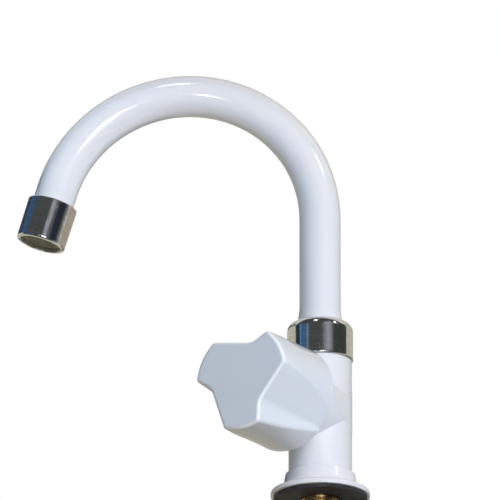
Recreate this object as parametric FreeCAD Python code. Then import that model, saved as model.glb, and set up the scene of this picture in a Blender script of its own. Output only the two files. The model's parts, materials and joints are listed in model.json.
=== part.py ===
"""Deck-mounted swivel tap with a gooseneck spout and a three-lobed knob, as separate pieces.

Millimetres. The origin is on the column's axis, in the plane where the gasket rests on the deck.
+Z is up, the spout points along -X at rest, and the knob faces forward, a little towards the spout.
"""
import FreeCAD
import Part
import math
import os

Vector = FreeCAD.Vector

# Fits between pieces
RUNNING = 0.05            # radial clearance of a part that turns in another
SEATED = 0.03             # radial clearance of a part that is screwed or pressed into another
FACE_GAP = 0.05           # axial gap between faces that slide on each other
OPEN_GAP = 0.3            # gap between pieces that pass each other without touching

# Deck gasket, shank and its nut
GASKET_THICKNESS = 2.0
GASKET_RADIUS = 24.0
GASKET_PLAY = 0.6         # between the shank's thread and the holes of gasket and washer
SHANK_RADIUS = 10.4775    # half of the 20.955 mm thread
SHANK_BORE = 6.5
SHANK_SPIGOT_STEP = 0.6   # the end in the column is this much thinner than the thread
SHANK_SPIGOT_LENGTH = 12.0
SHANK_LENGTH = 52.0       # below the deck plane
SHANK_FREE_END = 16.5     # stretch left for the supply hose
RELIEF_WIDTH = 1.5
RELIEF_DEPTH = 0.9
SHANK_CHAMFER = 0.8
DECK_SPACE = 20.0         # between gasket and washer
WASHER_THICKNESS = 2.0
WASHER_RADIUS = 17.0
NUT_HEIGHT = 8.0
NUT_ACROSS_FLATS = 28.0
NUT_CHAMFER = 1.0

# Base escutcheon
ESCUTCHEON_RADIUS = 25.5
ESCUTCHEON_HEIGHT = 12.0
ESCUTCHEON_EDGE = 2.6
ESCUTCHEON_LIP = 1.4
ESCUTCHEON_PLAY = 0.2

# Column and its passages
COLUMN_RADIUS = 16.3
VALVE_HEIGHT = 47.0       # valve axis above the deck
COLUMN_ABOVE_VALVE = 27.6
NECK_RADIUS = 14.3
NECK_LENGTH = 13.5
SPIGOT_BORE = 10.0
SPIGOT_BORE_DEPTH = 22.5
INLET_RADIUS = 5.0
INLET_OFFSET = 4.0        # inlet passage behind the column's axis
OUTLET_RADIUS = 3.5
OUTLET_OFFSET = 7.0       # outlet passage in front of the column's axis
PASSAGE_FLOOR = 6.0       # depth of the wide start of the inlet above the shank

# Valve boss, along the valve axis from the column's axis
KNOB_BEARING = 28.5       # knob's axis from straight ahead, towards the spout
BOSS_RADIUS = 17.8
BOSS_WRAP = 0.2           # the boss stands this proud of the column round its back
BOSS_TAPER_LENGTH = 16.0
BOSS_END = 34.0
BOSS_CHAMFER = 1.0
CHAMBER_RADIUS = 10.5
CHAMBER_START = 5.5
BONNET_THREAD_RADIUS = 11.5
BONNET_THREAD_START = 14.0

# Valve seat
SEAT_BORE = 3.8
SEAT_TUBE_RADIUS = 4.8
SEAT_TUBE_LENGTH = 4.5
SEAT_FLANGE_RADIUS = 7.0
SEAT_FLANGE_THICKNESS = 1.1
SEAT_LIP_RADIUS = 5.4
SEAT_LIP_HEIGHT = 0.5
SEAT_LIP_WIDTH = 0.9

# Bonnet
BONNET_START = 16.0
BONNET_GASKET_THICKNESS = 1.0
BONNET_GASKET_RADIUS = 14.0
BONNET_HEX = 28.0
BONNET_HEX_HEIGHT = 5.0
BONNET_HEX_CHAMFER = 1.0
BONNET_BARREL_RADIUS = 7.6
BONNET_BARREL_LENGTH = 5.0
GUIDE_HEX = 15.2          # across flats of the hexagon that guides the piston
GUIDE_LENGTH = 11.0
SHOULDER_POCKET_LENGTH = 3.0

# Valve stem
STEM_RADIUS = 4.95
STEM_SHOULDER_RADIUS = 6.6
STEM_SHOULDER_LENGTH = 2.0
STEM_THREAD_RADIUS = 4.0
STEM_RING_SPACING = 4.2
STEM_RING_FROM_SHOULDER = 3.2
STEM_RING_THICKNESS = 1.36
STEM_END_LENGTH = 2.2     # plain length between circlip groove and serrations
SERRATION_COUNT = 20
SERRATION_TIP = 4.0
SERRATION_ROOT = 3.55
SERRATION_LENGTH = 13.5
CIRCLIP_THICKNESS = 1.0
CIRCLIP_RADIUS = 6.4
CIRCLIP_GROOVE_DEPTH = 0.85
CIRCLIP_MOUTH = 6.0

# Piston and its washer
PISTON_LENGTH = 13.5
PISTON_FLANGE_RADIUS = 7.3
PISTON_FLANGE_LENGTH = 2.0
PISTON_SKIRT_LENGTH = 1.6
PISTON_SKIRT_WALL = 0.7
PISTON_SLIDE = 0.1        # clearance of each flat in the guide
PISTON_TRAVEL = 3.0
PISTON_BORE_START = 4.0   # from the washer's seat to the bottom of the threaded bore
RUBBER_THICKNESS = 2.95
SCREW_RADIUS = 1.5
SCREW_LENGTH = 2.7        # in the piston
SCREW_HEAD_RADIUS = 2.8
SCREW_HEAD_HEIGHT = 1.5
SCREW_SLOT_WIDTH = 0.7
SCREW_SLOT_DEPTH = 0.7

# Knob, with angles counter-clockwise from the right as seen from the front
KNOB_RADIUS = 27.6
KNOB_DEPTH = 44.6
KNOB_RIM = 28.7           # rim plane from the column's axis
KNOB_WALL = 2.4
KNOB_FACE_WALL = 3.0
KNOB_EDGE = 2.0           # rounding of the face's edge
LOBES = 3
VALLEY_ANGLE = 91.1       # direction in which a valley runs out towards the rim
LONG_FLANK_ANGLE = 79.4   # direction of the long flank's normal
LONG_FLANK_DISTANCE = 18.3
SHORT_FLANK_ANGLE = 117.4
SHORT_FLANK_DISTANCE = 12.4
VALLEY_RUNOUT = 8.0       # how far a valley has moved outwards at the rim
VALLEY_CURVE = 0.35       # share of the run-out that comes late, which curves the valley
VALLEY_BLEND = 9.0
VALLEY_BLEND_RIM = 2.2
LOBE_CORNER = 2.4
KNOB_SECTIONS = 3
HUB_RADIUS = 7.2
HUB_GAP = 1.2             # from the circlip to the hub
HUB_SOCKET_SPARE = 1.0
RIB_THICKNESS = 1.8
RIB_LENGTH = 20.0

# Spout tube
TUBE_RADIUS = 10.65
TUBE_WALL = 1.5
BELL_RADIUS = 11.4
BELL_LENGTH = 4.8         # straight stretch of the widened end
BELL_TAPER = 8.0
RISER_TOP = 104.8         # above the valve axis, where the arch begins
ARCH_RADIUS = 69.5
ARCH_SWEEP = 163.0
TAIL_LENGTH = 7.8         # straight tube between arch and aerator

# Spigot, its rings and the collar nut
SPIGOT_LENGTH = 20.0      # below the flange
SPIGOT_WALL = 2.8
SPIGOT_FLANGE_RADIUS = 13.2
SPIGOT_FLANGE_THICKNESS = 2.0
SPIGOT_NECK_LENGTH = 6.5
SPIGOT_RING_THICKNESS = 1.56
SPIGOT_RING_FROM_END = 3.4
SPIGOT_RING_SPACING = 6.0
RING_GROOVE_PLAY = 0.4    # groove wider than the ring
SLIP_WASHER_THICKNESS = 0.8
GLAND_THICKNESS = 2.1
GLAND_SPLIT = 1.6
COLLAR_RADIUS = 17.0
COLLAR_HEIGHT = 20.6
COLLAR_LIP = 2.5
COLLAR_SHOULDER = 5.2
COLLAR_MOUTH_PLAY = 0.2
COLLAR_EDGE = 0.8

# Outlet, along its axis from the top of the aerator housing
HOUSING_LENGTH = 22.3
HOUSING_TOP_RADIUS = 12.95
HOUSING_END_RADIUS = 12.75
HOUSING_TOP_ROUND = 0.6
HOUSING_END_ROUND = 1.1
HOUSING_LIP_RADIUS = 10.8
HOUSING_LIP_ROUND = 0.4
HOUSING_LIP_THICKNESS = 1.6
NOTCH_WIDTH = 1.8
NOTCH_DEPTH = 1.0
TUBE_IN_HOUSING = 5.0
NIPPLE_RADIUS = 11.3
NIPPLE_BORE = 7.8
NIPPLE_IN_TUBE = 11.0
NIPPLE_THREAD_LENGTH = 7.8
AERATOR_WASHER_THICKNESS = 2.0
INSERT_WALL = 1.0
INSERT_PLATE_THICKNESS = 1.2
INSERT_HOLES = 8
INSERT_HOLE_RADIUS = 1.0
INSERT_HOLE_CIRCLE = 5.6
SCREEN_THICKNESS = 0.6
SCREEN_RECESS = 0.5       # screen above the insert's lower end

# Heights and places that follow from the sizes above
VALVE_POINT = Vector(0, 0, VALVE_HEIGHT)
SHOULDER_Z = VALVE_HEIGHT + COLUMN_ABOVE_VALVE
NECK_TOP_Z = SHOULDER_Z + NECK_LENGTH
FLANGE_Z = NECK_TOP_Z + SLIP_WASHER_THICKNESS + FACE_GAP
TUBE_FOOT_Z = FLANGE_Z + SPIGOT_FLANGE_THICKNESS
GLAND_Z = TUBE_FOOT_Z + FACE_GAP
COLLAR_TOP_Z = GLAND_Z + GLAND_THICKNESS + COLLAR_LIP
ARCH_Z = VALVE_HEIGHT + RISER_TOP
TUBE_BORE = TUBE_RADIUS - TUBE_WALL
BELL_BORE = BELL_RADIUS - TUBE_WALL
SPIGOT_RADIUS = SPIGOT_BORE - RUNNING
SHANK_SPIGOT_RADIUS = SHANK_RADIUS - SHANK_SPIGOT_STEP
SHANK_HOLE = SHANK_RADIUS + GASKET_PLAY

SEAT_FLANGE_S = CHAMBER_START
SEAT_LIP_S = SEAT_FLANGE_S + SEAT_FLANGE_THICKNESS + SEAT_LIP_HEIGHT
RUBBER_S = SEAT_LIP_S + FACE_GAP
PISTON_S = RUBBER_S + RUBBER_THICKNESS
HEX_S = BOSS_END + BONNET_GASKET_THICKNESS
BARREL_S = HEX_S + BONNET_HEX_HEIGHT
BONNET_END = BARREL_S + BONNET_BARREL_LENGTH
GUIDE_END = BONNET_START + GUIDE_LENGTH
POCKET_END = GUIDE_END + SHOULDER_POCKET_LENGTH
STEM_BORE = STEM_RADIUS + RUNNING
SHOULDER_END = POCKET_END - FACE_GAP
STEM_START = PISTON_S + PISTON_BORE_START + PISTON_TRAVEL + OPEN_GAP
CIRCLIP_S = BONNET_END + OPEN_GAP
SERRATION_S = CIRCLIP_S + CIRCLIP_THICKNESS + STEM_END_LENGTH
STEM_END = SERRATION_S + SERRATION_LENGTH
HUB_S = CIRCLIP_S + CIRCLIP_THICKNESS + HUB_GAP
KNOB_FACE = KNOB_RIM + KNOB_DEPTH

INSERT_RADIUS = NIPPLE_RADIUS - SEATED
NIPPLE_END = TUBE_IN_HOUSING + NIPPLE_THREAD_LENGTH
INSERT_START = NIPPLE_END + AERATOR_WASHER_THICKNESS
INSERT_END = HOUSING_LENGTH - HOUSING_LIP_THICKNESS


def direction(angle):
    """Unit vector in the XY plane, counter-clockwise from +X by an angle in degrees."""
    return Vector(math.cos(math.radians(angle)), math.sin(math.radians(angle)), 0)


def rounded_wire(corners):
    """Closed wire in the XZ plane through corners (x, z) or (x, z, radius of a tangent arc)."""
    places = [Vector(corner[0], 0, corner[1]) for corner in corners]
    stretches = []
    for index, corner in enumerate(corners):
        here = places[index]
        back = places[index - 1] - here
        on = places[(index + 1) % len(places)] - here
        back.normalize()
        on.normalize()
        radius = corner[2] if len(corner) > 2 else 0
        if radius <= 0:
            stretches.append((here, None, here))
            continue
        half = back.getAngle(on) / 2
        inwards = back + on
        inwards.normalize()
        middle = here + inwards * (radius / math.sin(half) - radius)
        reach = radius / math.tan(half)
        stretches.append((here + back * reach, middle, here + on * reach))
    edges = []
    for index, (start, middle, end) in enumerate(stretches):
        if middle is not None:
            edges.append(Part.Arc(start, middle, end).toShape())
        following = stretches[(index + 1) % len(stretches)][0]
        edges.append(Part.LineSegment(end, following).toShape())
    return Part.Wire(edges)


def turned(corners):
    """Solid turned about Z from a closed profile of (radius, height) corners."""
    return Part.Face(rounded_wire(corners)).revolve(Vector(0, 0, 0), Vector(0, 0, 1), 360)


def ring(inner, outer, low, high):
    """Plain ring about Z."""
    return turned([(inner, low), (outer, low), (outer, high), (inner, high)])


def rod(radius, low, high, x=0.0, y=0.0):
    """Plain cylinder along Z."""
    return Part.makeCylinder(radius, high - low, Vector(x, y, low))


def polygon_rod(points, low, high):
    """Prism along Z from a closed list of XY points."""
    wire = Part.makePolygon([Vector(p.x, p.y, low) for p in points + points[:1]])
    return Part.Face(wire).extrude(Vector(0, 0, high - low))


def hexagon(across_flats, low, high):
    """Hexagonal prism along Z."""
    corner = across_flats / 2 / math.cos(math.pi / 6)
    return polygon_rod([direction(60 * k) * corner for k in range(6)], low, high)


def chamfered_hexagon(across_flats, low, high, chamfer, both=True):
    """Hexagonal prism with its corners turned off at one end or both."""
    corner = across_flats / 2 / math.cos(math.pi / 6)
    drop = chamfer / 2
    foot = [(0, low), (corner - chamfer, low), (corner, low + drop)] if both else [(0, low), (corner, low)]
    turning = turned(foot + [(corner, high - drop), (corner - chamfer, high), (0, high)])
    return hexagon(across_flats, low, high).common(turning)


def serrated_rod(root, tip, count, low, high):
    """Prism along Z with pointed teeth around it."""
    step = 180 / count
    points = []
    for k in range(count):
        points.append(direction(2 * k * step) * tip)
        points.append(direction((2 * k + 1) * step) * root)
    return polygon_rod(points, low, high)


def o_ring(bore_radius, thickness, middle):
    """Rubber ring about Z that just clears the bore around it."""
    return Part.makeTorus(bore_radius - RUNNING - thickness / 2, thickness / 2, Vector(0, 0, middle))


def ring_groove(bore_radius, thickness, middle):
    """Space that an o-ring needs in the part that carries it."""
    half = (thickness + RING_GROOVE_PLAY) / 2
    floor = bore_radius - RUNNING - thickness - SEATED
    return ring(floor, bore_radius + thickness, middle - half, middle + half)


def on_valve_axis(shape):
    """Move a shape made about Z to the valve axis: its X to the right, its Y up, its Z out to the front."""
    bearing = math.radians(KNOB_BEARING)
    right = Vector(math.cos(bearing), -math.sin(bearing), 0)
    out = Vector(-math.sin(bearing), -math.cos(bearing), 0)
    placed = shape.copy()
    placed.Placement = FreeCAD.Placement(VALVE_POINT, FreeCAD.Rotation(right, Vector(0, 0, 1), out, "ZXY"))
    return placed


def outlet_direction():
    """Unit vector along the outlet's axis, the way the water leaves."""
    sweep = math.radians(ARCH_SWEEP)
    return Vector(-math.sin(sweep), 0, math.cos(sweep))


def arch_end():
    """Centre of the tube where the arch ends."""
    sweep = math.radians(ARCH_SWEEP)
    return Vector(ARCH_RADIUS * (math.cos(sweep) - 1), 0, ARCH_Z + ARCH_RADIUS * math.sin(sweep))


def on_outlet(shape):
    """Move a shape made about Z to the outlet's axis, with its zero at the top of the aerator housing."""
    along = outlet_direction()
    across = Vector(0, 1, 0)
    placed = shape.copy()
    turn = FreeCAD.Rotation(across.cross(along), across, along, "ZYX")
    placed.Placement = FreeCAD.Placement(arch_end() + along * TAIL_LENGTH, turn)
    return placed


def deck_gasket():
    """Rubber ring between base and deck."""
    bevel = GASKET_THICKNESS / 4
    return turned([
        (SHANK_HOLE, 0), (GASKET_RADIUS - bevel, 0), (GASKET_RADIUS, bevel),
        (GASKET_RADIUS, GASKET_THICKNESS - bevel), (GASKET_RADIUS - bevel, GASKET_THICKNESS),
        (SHANK_HOLE, GASKET_THICKNESS)])


def inlet_shank():
    """Threaded pipe that fixes the tap and takes the supply hose."""
    low = -SHANK_LENGTH
    relief = low + SHANK_FREE_END
    top = GASKET_THICKNESS + SHANK_SPIGOT_LENGTH
    inside = SHANK_RADIUS - RELIEF_DEPTH
    return turned([
        (SHANK_BORE, low), (SHANK_RADIUS - SHANK_CHAMFER, low), (SHANK_RADIUS, low + SHANK_CHAMFER),
        (SHANK_RADIUS, relief), (inside, relief), (inside, relief + RELIEF_WIDTH),
        (SHANK_RADIUS, relief + RELIEF_WIDTH), (SHANK_RADIUS, GASKET_THICKNESS),
        (SHANK_SPIGOT_RADIUS, GASKET_THICKNESS), (SHANK_SPIGOT_RADIUS, top), (SHANK_BORE, top)])


def shank_washer():
    """Loose washer under the deck."""
    return ring(SHANK_HOLE, WASHER_RADIUS, -DECK_SPACE - WASHER_THICKNESS, -DECK_SPACE)


def lock_nut():
    """Hexagon nut that clamps the tap to the deck."""
    top = -DECK_SPACE - WASHER_THICKNESS
    body = chamfered_hexagon(NUT_ACROSS_FLATS, top - NUT_HEIGHT, top, NUT_CHAMFER)
    return body.cut(rod(SHANK_RADIUS + SEATED, top - NUT_HEIGHT, top))


def base_escutcheon():
    """Flared cover ring round the foot of the column."""
    inside = COLUMN_RADIUS + ESCUTCHEON_PLAY
    low = GASKET_THICKNESS
    top = low + ESCUTCHEON_HEIGHT
    throat = inside + ESCUTCHEON_LIP
    return turned([
        (inside, low), (ESCUTCHEON_RADIUS, low, ESCUTCHEON_LIP / 4),
        (ESCUTCHEON_RADIUS, low + ESCUTCHEON_EDGE, ESCUTCHEON_LIP),
        (throat + ESCUTCHEON_LIP, low + ESCUTCHEON_EDGE + ESCUTCHEON_LIP, ESCUTCHEON_HEIGHT / 3),
        (throat, top, ESCUTCHEON_LIP / 2), (inside, top)])


def body_column():
    """Outer form of the column and its neck, without passages."""
    return turned([(0, GASKET_THICKNESS), (COLUMN_RADIUS, GASKET_THICKNESS), (COLUMN_RADIUS, SHOULDER_Z),
                   (NECK_RADIUS, SHOULDER_Z), (NECK_RADIUS, NECK_TOP_Z), (0, NECK_TOP_Z)])


def valve_boss():
    """Outer form of the boss that carries the valve: it wraps the column's back and widens to the front."""
    back_radius = COLUMN_RADIUS + BOSS_WRAP
    ahead = direction(-90 - KNOB_BEARING)
    aside = direction(-KNOB_BEARING)
    barrel = on_valve_axis(turned([
        (0, -back_radius), (BOSS_RADIUS, -back_radius), (BOSS_RADIUS, BOSS_END, BOSS_CHAMFER), (0, BOSS_END)]))
    corners = [aside * back_radius, ahead * BOSS_TAPER_LENGTH + aside * BOSS_RADIUS,
               ahead * BOSS_END + aside * BOSS_RADIUS, ahead * BOSS_END - aside * BOSS_RADIUS,
               ahead * BOSS_TAPER_LENGTH - aside * BOSS_RADIUS, aside * -back_radius]
    sides = [Part.LineSegment(start, end).toShape() for start, end in zip(corners, corners[1:])]
    back = Part.Arc(corners[-1], ahead * -back_radius, corners[0]).toShape()
    plan = Part.Face(Part.Wire(sides + [back]))
    plan.translate(Vector(0, 0, VALVE_HEIGHT - BOSS_RADIUS))
    return barrel.common(plan.extrude(Vector(0, 0, 2 * BOSS_RADIUS)))


def body_passages():
    """Water ways and threaded bores, joined in one cutter."""
    bearing = direction(-90 - KNOB_BEARING)
    behind = bearing * -INLET_OFFSET
    ahead = bearing * OUTLET_OFFSET
    socket_top = GASKET_THICKNESS + SHANK_SPIGOT_LENGTH
    socket = rod(SHANK_SPIGOT_RADIUS + SEATED, GASKET_THICKNESS, socket_top)
    start = rod(SHANK_BORE, socket_top, socket_top + PASSAGE_FLOOR)
    inlet = rod(INLET_RADIUS, socket_top, VALVE_HEIGHT + INLET_RADIUS, behind.x, behind.y)
    bore_floor = NECK_TOP_Z - SPIGOT_BORE_DEPTH
    spigot_bore = rod(SPIGOT_BORE, bore_floor, NECK_TOP_Z)
    outlet = rod(OUTLET_RADIUS, VALVE_HEIGHT + SEAT_FLANGE_RADIUS + OPEN_GAP, bore_floor, ahead.x, ahead.y)
    seat_hole = rod(SEAT_TUBE_RADIUS + SEATED, -INLET_OFFSET, CHAMBER_START)
    chamber = rod(CHAMBER_RADIUS, CHAMBER_START, BONNET_THREAD_START)
    thread = rod(BONNET_THREAD_RADIUS, BONNET_THREAD_START, BOSS_END)
    across = [on_valve_axis(piece) for piece in (seat_hole, chamber, thread)]
    return [socket, start, inlet, spigot_bore, outlet] + across


def body_shell():
    """Moulded body: column, neck and valve boss, with all water ways."""
    solid = body_column().fuse(valve_boss()).removeSplitter()
    for cutter in body_passages():
        solid = solid.cut(cutter)
    return solid


def valve_seat():
    """Pressed-in seat with a raised rounded lip."""
    back = CHAMBER_START - SEAT_TUBE_LENGTH
    top = SEAT_FLANGE_S + SEAT_FLANGE_THICKNESS
    inner = SEAT_LIP_RADIUS - SEAT_LIP_WIDTH / 2
    outer = SEAT_LIP_RADIUS + SEAT_LIP_WIDTH / 2
    crown = SEAT_LIP_WIDTH / 4
    return turned([
        (SEAT_BORE, back), (SEAT_TUBE_RADIUS, back), (SEAT_TUBE_RADIUS, SEAT_FLANGE_S),
        (SEAT_FLANGE_RADIUS, SEAT_FLANGE_S), (SEAT_FLANGE_RADIUS, top), (outer, top),
        (outer, SEAT_LIP_S, crown), (inner, SEAT_LIP_S, crown), (inner, top), (SEAT_BORE, top)])


def bonnet_gasket():
    """Flat ring between boss and bonnet."""
    return ring(BONNET_THREAD_RADIUS + OPEN_GAP, BONNET_GASKET_RADIUS, BOSS_END, HEX_S)


def bonnet():
    """Screwed-in valve head that guides the piston and carries the stem."""
    thread = rod(BONNET_THREAD_RADIUS - SEATED, BONNET_START, HEX_S)
    head = chamfered_hexagon(BONNET_HEX, HEX_S, BARREL_S, BONNET_HEX_CHAMFER, both=False)
    barrel = rod(BONNET_BARREL_RADIUS, BARREL_S, BONNET_END)
    solid = thread.fuse([head, barrel]).removeSplitter()
    solid = solid.cut(hexagon(GUIDE_HEX, BONNET_START, GUIDE_END))
    solid = solid.cut(rod(STEM_SHOULDER_RADIUS + OPEN_GAP, GUIDE_END, POCKET_END))
    return solid.cut(rod(STEM_BORE, POCKET_END, BONNET_END))


def stem_ring_places():
    """Middles of the stem's two o-rings along the valve axis."""
    first = SHOULDER_END + STEM_RING_FROM_SHOULDER
    return [first, first + STEM_RING_SPACING]


def valve_stem():
    """Turning stem with thread, shoulder, ring grooves, circlip groove and serrated end."""
    shoulder_start = SHOULDER_END - STEM_SHOULDER_LENGTH
    thread_radius = STEM_THREAD_RADIUS - RUNNING
    solid = turned([
        (0, STEM_START), (thread_radius, STEM_START), (thread_radius, shoulder_start),
        (STEM_SHOULDER_RADIUS, shoulder_start), (STEM_SHOULDER_RADIUS, SHOULDER_END),
        (STEM_RADIUS, SHOULDER_END), (STEM_RADIUS, SERRATION_S), (0, SERRATION_S)])
    for middle in stem_ring_places():
        solid = solid.cut(ring_groove(STEM_BORE, STEM_RING_THICKNESS, middle))
    floor = STEM_RADIUS - CIRCLIP_GROOVE_DEPTH
    solid = solid.cut(ring(floor, STEM_SHOULDER_RADIUS, CIRCLIP_S, CIRCLIP_S + CIRCLIP_THICKNESS))
    teeth = serrated_rod(SERRATION_ROOT, SERRATION_TIP, SERRATION_COUNT, SERRATION_S, STEM_END)
    return solid.fuse(teeth)


def stem_circlip():
    """Open spring ring that holds the stem in the bonnet."""
    inside = STEM_RADIUS - CIRCLIP_GROOVE_DEPTH + SEATED
    low = CIRCLIP_S + FACE_GAP / 2
    high = CIRCLIP_S + CIRCLIP_THICKNESS - FACE_GAP / 2
    mouth = Part.makeBox(CIRCLIP_RADIUS * 2, CIRCLIP_MOUTH, CIRCLIP_THICKNESS * 2,
                         Vector(0, -CIRCLIP_MOUTH / 2, low - CIRCLIP_THICKNESS / 2))
    return ring(inside, CIRCLIP_RADIUS, low, high).cut(mouth)


def valve_piston():
    """Hexagonal piston with a skirt that holds the rubber washer."""
    low = PISTON_S - PISTON_SKIRT_LENGTH
    flange_end = PISTON_S + PISTON_FLANGE_LENGTH
    cup = PISTON_FLANGE_RADIUS - PISTON_SKIRT_WALL
    end = PISTON_S + PISTON_LENGTH
    flange = turned([(0, PISTON_S), (cup, PISTON_S), (cup, low), (PISTON_FLANGE_RADIUS, low),
                     (PISTON_FLANGE_RADIUS, flange_end), (0, flange_end)])
    body = hexagon(GUIDE_HEX - 2 * PISTON_SLIDE, flange_end, end)
    bore = rod(STEM_THREAD_RADIUS, PISTON_S + PISTON_BORE_START, end)
    hole = rod(SCREW_RADIUS + SEATED, PISTON_S, PISTON_S + SCREW_LENGTH)
    return flange.fuse(body).cut(bore).cut(hole)


def seat_rubber():
    """Rubber washer that closes the seat."""
    outside = PISTON_FLANGE_RADIUS - PISTON_SKIRT_WALL - SEATED
    return ring(SCREW_RADIUS + SEATED, outside, RUBBER_S, PISTON_S)


def washer_screw():
    """Slotted screw that holds the rubber washer on the piston."""
    low = RUBBER_S - SCREW_HEAD_HEIGHT
    edge = SCREW_HEAD_HEIGHT / 3
    solid = turned([(0, low), (SCREW_HEAD_RADIUS, low, edge), (SCREW_HEAD_RADIUS, RUBBER_S),
                    (SCREW_RADIUS, RUBBER_S), (SCREW_RADIUS, PISTON_S + SCREW_LENGTH),
                    (0, PISTON_S + SCREW_LENGTH)])
    slot = Part.makeBox(4 * SCREW_HEAD_RADIUS, SCREW_SLOT_WIDTH, SCREW_SLOT_DEPTH,
                        Vector(-2 * SCREW_HEAD_RADIUS, -SCREW_SLOT_WIDTH / 2, low))
    return solid.cut(slot)


def lobe_corner(radius, corner, angle, distance, side):
    """Centre, circle point and flank point of the arc that rounds a lobe's corner.

    The flank is the line whose normal points at the angle, at a distance from the axis. The side is 1
    for the corner counter-clockwise of that normal and -1 for the other.
    """
    normal = direction(angle)
    along = direction(angle + 90)
    reach = math.sqrt((radius - corner) ** 2 - (distance - corner) ** 2)
    centre = normal * (distance - corner) + along * (side * reach)
    return centre, centre * (radius / centre.Length), centre + normal * corner


def arc_about(centre, start, end, height):
    """Arc round a centre by the short way from start to end, lifted to a height."""
    halfway = (start - centre) + (end - centre)
    halfway.normalize()
    middle = centre + halfway * (start - centre).Length
    lift = Vector(0, 0, height)
    return Part.Arc(start + lift, middle + lift, end + lift).toShape()


def knob_section(depth, inset, height):
    """Closed outline of the knob at a depth of 0 at the face to 1 at the rim, inset by a wall."""
    runout = VALLEY_RUNOUT * ((1 - VALLEY_CURVE) * depth + VALLEY_CURVE * depth ** 2)
    radius = KNOB_RADIUS - inset
    corner = LOBE_CORNER - inset / 2
    blend = VALLEY_BLEND + (VALLEY_BLEND_RIM - VALLEY_BLEND) * depth + inset / 2
    long_turn = math.radians(VALLEY_ANGLE - LONG_FLANK_ANGLE)
    short_turn = math.radians(SHORT_FLANK_ANGLE - VALLEY_ANGLE)
    long_distance = LONG_FLANK_DISTANCE + runout * math.cos(long_turn) - inset
    short_distance = SHORT_FLANK_DISTANCE + runout * math.cos(short_turn) - inset
    spread = math.radians(SHORT_FLANK_ANGLE - LONG_FLANK_ANGLE)
    lift = Vector(0, 0, height)
    edges = []
    for lobe in range(LOBES):
        turn = 360 / LOBES * lobe
        long_angle = LONG_FLANK_ANGLE + turn
        short_angle = SHORT_FLANK_ANGLE + turn
        first = lobe_corner(radius, corner, long_angle - 360 / LOBES, long_distance, 1)
        second = lobe_corner(radius, corner, short_angle, short_distance, -1)
        third = lobe_corner(radius, corner, long_angle, long_distance, 1)
        outer = long_distance + blend
        slide = (short_distance + blend - outer * math.cos(spread)) / math.sin(spread)
        valley = direction(long_angle) * outer + direction(long_angle + 90) * slide
        leave_short = valley - direction(short_angle) * blend
        reach_long = valley - direction(long_angle) * blend
        edges += [
            arc_about(Vector(0, 0, 0), first[1], second[1], height),
            arc_about(second[0], second[1], second[2], height),
            Part.LineSegment(second[2] + lift, leave_short + lift).toShape(),
            arc_about(valley, leave_short, reach_long, height),
            Part.LineSegment(reach_long + lift, third[2] + lift).toShape(),
            arc_about(third[0], third[2], third[1], height)]
    return Part.Wire(edges)


def knob_form(inset, start, end):
    """Solid lofted through the knob's sections between two places on the valve axis."""
    sections = []
    for step in range(KNOB_SECTIONS):
        place = start + (end - start) * step / (KNOB_SECTIONS - 1)
        sections.append(knob_section((KNOB_FACE - place) / KNOB_DEPTH, inset, place))
    return Part.makeLoft(sections, True, False)


def knob():
    """Hollow three-lobed knob with hub, serrated socket and ribs."""
    outside = knob_form(0.0, KNOB_RIM, KNOB_FACE)
    face_edges = [edge for edge in outside.Edges
                  if min(vertex.Z for vertex in edge.Vertexes) > KNOB_FACE - SEATED]
    outside = outside.makeFillet(KNOB_EDGE, face_edges)
    ceiling = KNOB_FACE - KNOB_FACE_WALL
    shell = outside.cut(knob_form(KNOB_WALL, KNOB_RIM - OPEN_GAP, ceiling))
    stiffeners = rod(HUB_RADIUS, HUB_S, ceiling + KNOB_FACE_WALL / 2)
    for lobe in range(LOBES):
        rib = Part.makeBox(KNOB_RADIUS - KNOB_WALL / 2, RIB_THICKNESS, RIB_LENGTH,
                           Vector(0, -RIB_THICKNESS / 2, ceiling - RIB_LENGTH + KNOB_FACE_WALL / 2))
        middle = (LONG_FLANK_ANGLE + SHORT_FLANK_ANGLE) / 2 + 180 / LOBES + 360 / LOBES * lobe
        rib.rotate(Vector(0, 0, 0), Vector(0, 0, 1), middle)
        stiffeners = stiffeners.fuse(rib)
    solid = shell.fuse(stiffeners).removeSplitter()
    return solid.cut(knob_socket())


def knob_socket():
    """Space for the stem's end in the hub."""
    mouth = rod(STEM_RADIUS + OPEN_GAP, HUB_S, SERRATION_S)
    teeth = serrated_rod(SERRATION_ROOT + RUNNING, SERRATION_TIP + RUNNING, SERRATION_COUNT,
                         SERRATION_S, STEM_END + HUB_SOCKET_SPARE)
    return mouth.fuse(teeth)


def slip_washer():
    """Plastic washer that the spout's flange turns on."""
    return ring(SPIGOT_BORE + RUNNING, SPIGOT_FLANGE_RADIUS, NECK_TOP_Z, NECK_TOP_Z + SLIP_WASHER_THICKNESS)


def spigot_ring_places():
    """Heights of the spigot's two o-rings."""
    first = FLANGE_Z - SPIGOT_LENGTH + SPIGOT_RING_FROM_END
    return [first, first + SPIGOT_RING_SPACING]


def spout_spigot():
    """Brass end of the spout that turns in the column."""
    low = FLANGE_Z - SPIGOT_LENGTH
    inside = SPIGOT_RADIUS - SPIGOT_WALL
    neck = BELL_BORE - SEATED
    top = TUBE_FOOT_Z + SPIGOT_NECK_LENGTH
    solid = turned([
        (inside, low), (SPIGOT_RADIUS, low, SPIGOT_WALL / 4), (SPIGOT_RADIUS, FLANGE_Z),
        (SPIGOT_FLANGE_RADIUS, FLANGE_Z), (SPIGOT_FLANGE_RADIUS, TUBE_FOOT_Z), (neck, TUBE_FOOT_Z),
        (neck, top), (inside, top)])
    for middle in spigot_ring_places():
        solid = solid.cut(ring_groove(SPIGOT_BORE, SPIGOT_RING_THICKNESS, middle))
    return solid


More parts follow.
